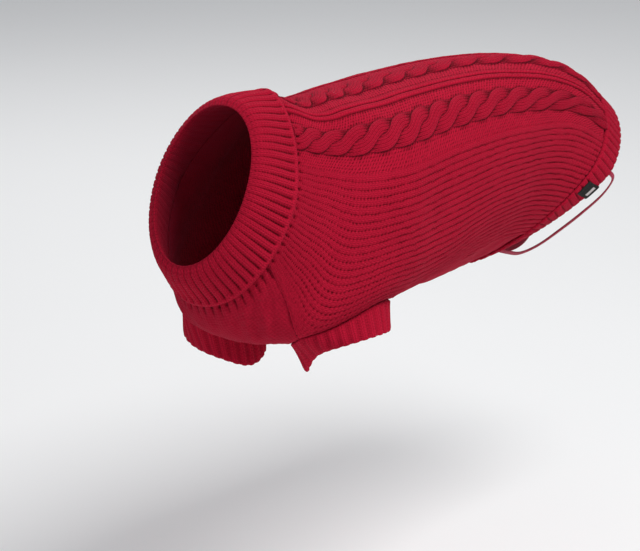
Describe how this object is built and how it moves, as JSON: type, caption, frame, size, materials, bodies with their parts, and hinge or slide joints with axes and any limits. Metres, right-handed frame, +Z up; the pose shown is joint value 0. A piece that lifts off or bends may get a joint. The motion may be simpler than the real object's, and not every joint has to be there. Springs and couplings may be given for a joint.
{
  "type": "dog sweater",
  "caption": "Hollow cable-knit dog sweater in its worn shape, with a doubled rib collar, front leg cuffs, a slanted rear rib band and elastic hind leg loops.",
  "frame": {"origin": "inside of the back at the withers, above the front legs, where the wearer carries the garment", "axes": "-X towards the head, +X towards the tail, -Y the wearer's left, +Z up"},
  "size_m": [0.6316, 0.2252, 0.272],
  "materials": {
    "knit": "matt wool-like yarn in cables and flank ribs, crimson",
    "plain_knit": "matt plain knit, crimson",
    "rib_knit": "matt rib knit, crimson",
    "label_weave": "black satin weave with a plain pale woven bar",
    "elastic": "flat knitted elastic, crimson"
  },
  "bodies": {
    "root": {"back_panel": "knit", "front_panel": "plain_knit", "collar": "rib_knit", "cuff_left": "rib_knit", "cuff_right": "rib_knit", "hem_back": "rib_knit", "hem_belly": "rib_knit", "label": "label_weave", "leg_loop_left": "elastic", "leg_loop_right": "elastic"}
  },
  "joints": []
}
